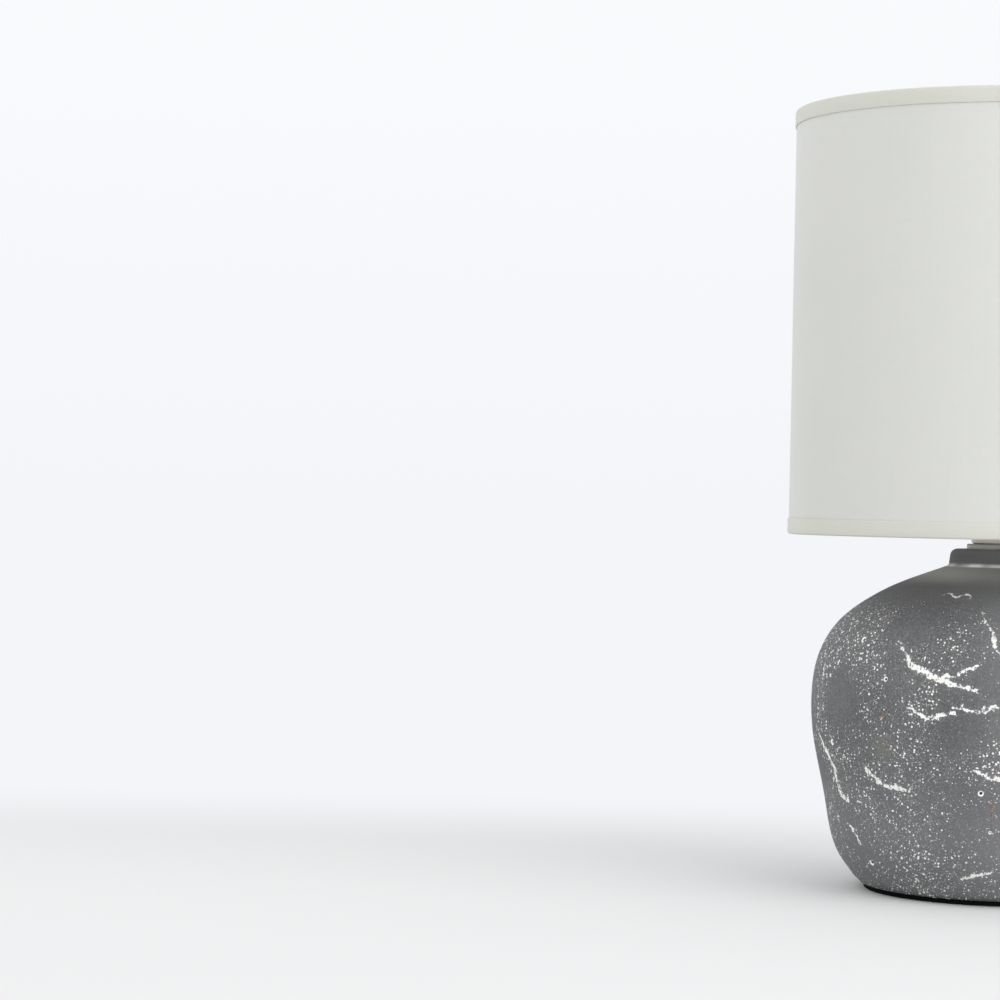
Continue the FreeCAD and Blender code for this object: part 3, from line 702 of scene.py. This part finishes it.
def cut_inlet(piece):
    """The hole for the supply lead's bushing, square to the back wall."""
    mount = next(m for m in frame["record"]["mounts"] if m["name"] == "cord_inlet")
    axis = Vector(mount["axis"])
    bpy.ops.mesh.primitive_cylinder_add(vertices=64, radius=0.0055, depth=0.040, location=mount["pos_m"])
    cutter = bpy.context.object
    cutter.rotation_mode = "QUATERNION"
    cutter.rotation_quaternion = axis.to_track_quat("Z", "Y")
    bpy.context.view_layer.update()
    cut = piece.modifiers.new("inlet", "BOOLEAN")
    cut.operation = "DIFFERENCE"
    cut.solver = "EXACT"
    cut.object = cutter
    bpy.context.view_layer.update()
    result = bpy.data.meshes.new_from_object(piece.evaluated_get(bpy.context.evaluated_depsgraph_get()))
    piece.modifiers.clear()
    piece.data = result
    bpy.data.objects.remove(cutter)
    for polygon in result.polygons:
        polygon.use_smooth = True


# ---- the shade ------------------------------------------------------------------------------------
SHADE_R = 0.105
CLOTH_T = 0.0005
LAP_WIDTH = 0.012          # the cloth's two ends overlap by this at the back
SHADE_SEGMENTS = 360


def shade_cloth(cloth):
    """The woven cover: one sheet bent round, its ends lapped at the back."""
    low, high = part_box("shade_fabric")
    rows = 90
    lap = LAP_WIDTH / SHADE_R
    around = np.concatenate([np.linspace(0, lap, 10), np.linspace(lap, 2 * math.pi, SHADE_SEGMENTS)[1:],
                             2 * math.pi + np.linspace(0, lap, 10)[1:]])
    verts, faces = [], []
    columns = len(around)
    for side in (0, 1):
        for row in range(rows + 1):
            z = low.z + (high.z - low.z) * row / rows
            for turn in around:
                lift = 0.0
                if turn > 6.2:
                    lift = 0.0004 * min(1.0, max(0.0, (turn - 2 * math.pi + 0.035) / 0.035))
                if turn > 2 * math.pi + lap - 0.004:
                    lift -= 0.00012
                skin = 0.00010 * noise.noise(Vector((math.cos(turn) * 2.2, math.sin(turn) * 2.2, z * 22)))
                r = SHADE_R - 0.00005 + skin + lift - (CLOTH_T * 0.8 if side else 0)
                a = turn + math.pi / 2 - lap / 2
                verts.append((r * math.cos(a), r * math.sin(a), z))
    layer = (rows + 1) * columns
    for row in range(rows):
        for k in range(columns - 1):
            a = row * columns + k
            faces.append((a, a + 1, a + columns + 1, a + columns))
            faces.append((layer + a, layer + a + columns, layer + a + columns + 1, layer + a + 1))
    for k in range(columns - 1):
        faces.append((k, layer + k, layer + k + 1, k + 1))
        top = rows * columns + k
        faces.append((top, top + 1, layer + top + 1, layer + top))
    for row in range(rows):
        for k, flip in ((0, False), (columns - 1, True)):
            a, b = row * columns + k, (row + 1) * columns + k
            faces.append((a, layer + a, layer + b, b) if flip else (a, b, layer + b, layer + a))
    piece = new_piece("shade_cloth", verts, faces, "shade", "shade_cloth", "shade_fabric")
    piece.data.materials.append(cloth)
    return piece


def folded_tape(name, node, side, cloth):
    """Edge tape: up the outside, round the shade wire and down the inside."""
    low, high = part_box(node)
    edge = high.z if side > 0 else low.z
    wire_r = 0.0015
    ring_r = SHADE_R - CLOTH_T - 0.0006 - wire_r
    height, thick = 0.0080, 0.0006
    outer_r = SHADE_R + thick
    inner_r = ring_r - wire_r - thick
    tuck = 0.0062
    crown = 0.0011
    # half outline seen with the edge at the top; (r, depth below the edge)
    path = [(SHADE_R + 0.00008, height), (outer_r - 0.00018, height - 0.00006),
            (outer_r - 0.00002, height - 0.0007), (outer_r - 0.00012, height * 0.5), (outer_r, 0.0020),
            (outer_r - 0.0003, crown * 0.55), (outer_r - crown, 0.00015), (outer_r - 0.0022, 0.0),
            (inner_r + 0.0012, 0.00012), (inner_r + 0.0003, 0.0009), (inner_r, 0.0020),
            (inner_r + 0.0002, 0.0042), (inner_r + 0.0016, tuck)]
    back = [(inner_r + 0.0021, tuck - 0.0002), (inner_r + 0.0007, 0.0038), (inner_r + 0.0006, 0.0020),
            (inner_r + 0.0011, 0.0009), (outer_r - 0.0022, 0.00062), (outer_r - 0.0008, 0.0012),
            (SHADE_R + 0.00006, 0.0024), (SHADE_R + 0.00003, height - 0.0012)]
    outline = [(r, edge - side * depth) for r, depth in path + back]

    def pull(r, z, turn):
        """The hem isn't dead straight: its free edge wanders a little and it puckers round the wire."""
        depth = abs(edge - z)
        wander = 0.00022 * noise.noise(Vector((math.cos(turn) * 4, math.sin(turn) * 4, side * 3.0)))
        pucker = 0.00006 * noise.noise(Vector((math.cos(turn) * 30, math.sin(turn) * 30, side * 5.0)))
        share = depth / height
        return r + pucker * (1 - 0.4 * share), z + wander * share * (1 if r > SHADE_R - 0.001 else 0.5)

    verts, faces = lathe(outline, SHADE_SEGMENTS, pull)
    piece = new_piece(name, verts, faces, "shade", "trim_cloth", node)
    piece.data.materials.append(cloth)
    return piece


# ---- the rest -----------------------------------------------------------------------------------------
def soft_pad(felt):
    """Felt under the foot, its cut edge a little furry and uneven."""
    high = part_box("felt_pad")[1]
    radius, thick = high.x - 0.0022, high.z
    outline = [(0.0002, high.z), (radius - 0.0030, high.z), (radius - 0.0006, high.z - 0.00004),
               (radius - 0.0001, high.z - 0.0003), (radius, thick * 0.5), (radius - 0.0002, 0.00035),
               (radius - 0.0009, 0.00005), (radius - 0.0035, 0.0), (0.0002, 0.0)]

    def fray(r, z, turn):
        if r < radius - 0.001:
            return r, z
        return r + 0.00025 * noise.noise(Vector((math.cos(turn) * 60, math.sin(turn) * 60, z * 900))), z

    verts, faces = lathe(outline, 720, fray)
    piece = new_piece("felt_foot", verts, faces, "base", "black_felt", "felt_pad")
    piece.data.materials.append(felt)
    return piece


def thread_wave(phase):
    """Rounded thread shape from 0 in the root to 1 on the crest."""
    return 0.5 - 0.5 * math.cos(2 * math.pi * phase)


def threaded_sleeve(name, node, body, slot, material, root_r, crest_r, z0, z1, pitch, rest):
    """Sleeve whose outside carries a real helical thread between z0 and z1; rest closes the outline."""
    step = pitch / 10
    rows = max(2, round((z1 - z0) / step))
    outline = [(crest_r, z0 + (z1 - z0) * k / rows) for k in range(rows + 1)] + rest

    def helix(r, z, turn):
        if r < crest_r or not z0 - 1e-9 <= z <= z1 + 1e-9:
            return r, z
        fade = min(1.0, (z - z0) / pitch, (z1 - z) / pitch)
        wave = thread_wave((z / pitch) - turn / (2 * math.pi))
        return root_r + (crest_r - root_r) * wave * max(0.0, fade), z

    verts, faces = lathe(outline, 120, helix)
    piece = new_piece(name, verts, faces, body, slot, node)
    piece.data.materials.append(material)
    return piece


def candle_glass(glass):
    """Blown envelope: outside and inside skins joined in the cap."""
    low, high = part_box("bulb_glass")
    neck = low.z
    throat = neck + 0.0044
    tip = high.z
    outline = smooth_curve([(0.0061, throat), (0.0086, throat + 0.004), (0.0132, throat + 0.013),
                            (0.0175, throat + 0.029), (0.0146, throat + 0.049), (0.0072, throat + 0.066),
                            (0.0026, tip - 0.0008), (0.00012, tip)], 70)
    wall = 0.0007
    outer = [(0.0061, neck)] + outline.tolist()
    inner = [(max(r - wall, 0.0001), z - (wall if r < 0.004 else 0)) for r, z in outer][::-1]
    verts, faces = lathe(outer + inner, 96)
    piece = new_piece("bulb_envelope", verts, faces, "bulb", "bulb_clear_glass", "bulb_glass")
    piece.data.materials.append(glass)
    return piece


def shade_ring_piece(name, node, body, plastic):
    """Ribbed shade ring with softened ribs."""
    low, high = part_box(node)
    height = high.z - low.z
    bore, root, crest = 0.01405, 0.0177, 0.0186
    outline = rounded([(root, low.z), (root, high.z), (bore, high.z), (bore, low.z)], 0.0006, 3)
    ribs, steps_a_rib = 24, 14
    band = [(root, low.z + 0.0006 + (height - 0.0012) * k / 12) for k in range(13)]
    start = next(i for i, (r, z) in enumerate(outline) if r > root - 1e-6 and z > low.z + height * 0.5)
    outline = outline[:start] + band[1:-1] + outline[start:]

    def rib(r, z, turn):
        if r < root - 1e-6:
            return r, z
        edge = min(1.0, (z - low.z) / 0.0012, (high.z - z) / 0.0012)
        wave = max(0.0, math.cos(turn * ribs)) ** 0.6
        return r + (crest - root) * wave * max(0.0, edge), z

    verts, faces = lathe(outline, ribs * steps_a_rib, rib)
    piece = new_piece(name, verts, faces, body, "holder_plastic", node)
    piece.data.materials.append(plastic)
    return piece


def build_lamp():
    cloth = cloth_material("shade_cloth", rgb(0.650, 0.654, 0.618), rgb(0.586, 0.596, 0.550), strength=0.25)
    tape = cloth_material("trim_cloth", rgb(0.632, 0.633, 0.572), rgb(0.565, 0.566, 0.485), 0.00036, 0.45)
    plastic = moulded_material("holder_plastic", rgb(0.82, 0.78, 0.70), rgb(0.76, 0.71, 0.62))
    zinc = metal_material("zinc_steel", rgb(0.62, 0.62, 0.60), rgb(0.40, 0.40, 0.38), 0.28, 0.42)
    nickel = metal_material("nickel_disc", rgb(0.40, 0.40, 0.375), rgb(0.31, 0.30, 0.27), 0.30, 0.45,
                            (1, 1, 0.05))
    brass = metal_material("holder_brass", rgb(0.80, 0.58, 0.26), rgb(0.50, 0.34, 0.14), 0.20, 0.34)
    cap_nickel = metal_material("cap_nickel", rgb(0.70, 0.69, 0.66), rgb(0.45, 0.44, 0.41), 0.22, 0.34)
    solder = metal_material("solder", rgb(0.55, 0.55, 0.56), rgb(0.35, 0.35, 0.36), 0.35, 0.55)
    wire = coated_wire_material()
    glass = clear_glass_material()
    rubber = moulded_material("black_rubber", rgb(0.018, 0.018, 0.019), rgb(0.028, 0.028, 0.029), 0.50, 0.62)

    cast_body()
    soft_pad(felt_material())
    shade_cloth(cloth)
    folded_tape("shade_tape_top", "top_trim", 1, tape)
    folded_tape("shade_tape_bottom", "bottom_trim", -1, tape)
    candle_glass(glass)

    low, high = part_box("holder_barrel")
    cap_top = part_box("holder_cap")[1].z
    threaded_sleeve(
        "holder_thread", "holder_barrel", "base", "holder_plastic", plastic,
        0.0133, 0.0140, cap_top, high.z - 0.0012, 0.0025,
        [(0.0133, high.z - 0.0004), (0.0129, high.z), (0.0094, high.z), (0.0092, high.z - 0.0003),
         (0.0092, high.z - 0.0015), (0.0114, high.z - 0.0015), (0.0114, cap_top), (0.0110, cap_top),
         (0.0110, low.z), (0.0120, low.z), (0.0120, cap_top)])
    low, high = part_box("bulb_cap")
    threaded_sleeve(
        "bulb_screw", "bulb_cap", "bulb", "cap_nickel", cap_nickel,
        0.0062, 0.0069, low.z, high.z - 0.006, 0.002822,
        [(0.0062, high.z - 0.0058), (0.0066, high.z - 0.0052), (0.0066, high.z - 0.0003), (0.0064, high.z),
         (0.00612, high.z), (0.0061, high.z - 0.004), (0.0056, high.z - 0.004), (0.0056, low.z + 0.0004),
         (0.0002, low.z + 0.0004), (0.0002, low.z)])
    shade_ring_piece("ring_lower", "lower_shade_ring", "base", plastic)
    shade_ring_piece("ring_upper", "upper_shade_ring", "shade_ring", plastic)

    dress(fibreboard_material(), "base_cover")
    dress(rubber, "cord_grommet")
    dress(zinc, "neck_nipple", "neck_washer", "neck_nut", "cap_lock_screw", "bulb_supports")
    dress(nickel, "neck_disc")
    dress(plastic, "holder_cap", "holder_insert")
    dress(brass, "terminal_screws", "screw_shell", "centre_contact")
    dress(solder, "bulb_contact")
    dress(dark_glass_material(), "bulb_insulator")
    dress(glass, "bulb_stem")
    dress(phosphor_material(), "bulb_filaments")
    dress(film_material(), "shade_liner")
    dress(wire, "top_wire_ring", "bottom_wire_ring", "fitter_ring", "fitter_arms")


# ---- studio ----------------------------------------------------------------------------------------------
WALL_TONE = rgb(0.905, 0.913, 0.947)
SKY_TONE = rgb(0.956, 0.964, 0.984)
FLOOR_TONE = rgb(0.722, 0.722, 0.716)


def floor():
    """Pale sweep: a floor near the lamp that melts into the backdrop's own white."""
    size, cells = 14.0, 60
    step = 2 * size / cells
    verts = [(-size + i * step, -size + j * step, 0.0)
             for j in range(cells + 1) for i in range(cells + 1)]
    row = cells + 1
    faces = [(j * row + i, j * row + i + 1, (j + 1) * row + i + 1, (j + 1) * row + i)
             for j in range(cells) for i in range(cells)]
    mesh = bpy.data.meshes.new("studio_floor")
    mesh.from_pydata(verts, [], faces)
    piece = bpy.data.objects.new("studio_floor", mesh)
    bpy.context.scene.collection.objects.link(piece)
    n = Nodes("studio_floor")
    n.set(Base_Color=FLOOR_TONE, Roughness=0.9)
    n.set(**{"Specular_IOR_Level": 0.1})
    glow = n.add("ShaderNodeEmission", {"Color": WALL_TONE, "Strength": 1.0})
    behind = n.ramp(n.axis("Y"), 0.16, 0.46)
    away = n.ramp(n.add("ShaderNodeVectorMath", {0: n.coords}, operation="LENGTH").outputs["Value"], 1.1, 2.4)
    share = n.math("MAXIMUM", behind, away)
    both = n.add("ShaderNodeMixShader", {0: share, 1: n.shader.outputs[0], 2: glow.outputs[0]})
    n.tree.links.new(both.outputs[0], n.out.inputs["Surface"])
    mesh.materials.append(n.material)


def world():
    scene_world = bpy.data.worlds.new("studio")
    bpy.context.scene.world = scene_world
    scene_world.use_nodes = True
    tree = scene_world.node_tree
    back = tree.nodes["Background"]
    back.inputs["Strength"].default_value = 1.0
    way = tree.nodes.new("ShaderNodeTexCoord")
    split = tree.nodes.new("ShaderNodeSeparateXYZ")
    rise = tree.nodes.new("ShaderNodeMapRange")
    rise.inputs["From Min"].default_value = 0.0
    rise.inputs["From Max"].default_value = 0.18
    tone = tree.nodes.new("ShaderNodeMix")
    tone.data_type = "RGBA"
    tone.inputs[6].default_value = WALL_TONE
    tone.inputs[7].default_value = SKY_TONE
    tree.links.new(way.outputs["Generated"], split.inputs[0])
    tree.links.new(split.outputs["Z"], rise.inputs["Value"])
    tree.links.new(rise.outputs[0], tone.inputs[0])
    tree.links.new(tone.outputs[2], back.inputs["Color"])


def softbox(name, place, aim, size, power):
    data = bpy.data.lights.new(name, "AREA")
    data.shape = "RECTANGLE"
    data.size, data.size_y = size
    data.energy = power
    lamp = bpy.data.objects.new(name, data)
    lamp.location = place
    lamp.rotation_mode = "QUATERNION"
    lamp.rotation_quaternion = (Vector(aim) - Vector(place)).to_track_quat("-Z", "Y")
    lamp.visible_camera = False
    bpy.context.scene.collection.objects.link(lamp)


def camera():
    """Level camera a little above the middle of the lamp, looking past its left side."""
    data = bpy.data.cameras.new("view")
    data.sensor_width = 36.0
    data.lens = 109.26
    eye = bpy.data.objects.new("view", data)
    eye.location = (-0.250, -1.5175, 0.1901)
    roll = 0.02
    eye.rotation_mode = "QUATERNION"
    look = Vector((0, 1, 0)).to_track_quat("-Z", "Y").to_matrix()
    eye.rotation_quaternion = (look @ Matrix.Rotation(roll, 3, "Z")).to_quaternion()
    bpy.context.scene.collection.objects.link(eye)
    bpy.context.scene.camera = eye


def studio():
    floor()
    world()
    softbox("key", (1.30, -1.17, 0.95), (0, 0, 0.15), (2.1, 1.7), 20.0)
    softbox("fill", (-1.1, -0.2, 1.4), (0, 0, 0.25), (0.9, 0.9), 3.6)
    camera()
    bpy.context.scene.view_settings.view_transform = "Standard"


build_lamp()
studio()
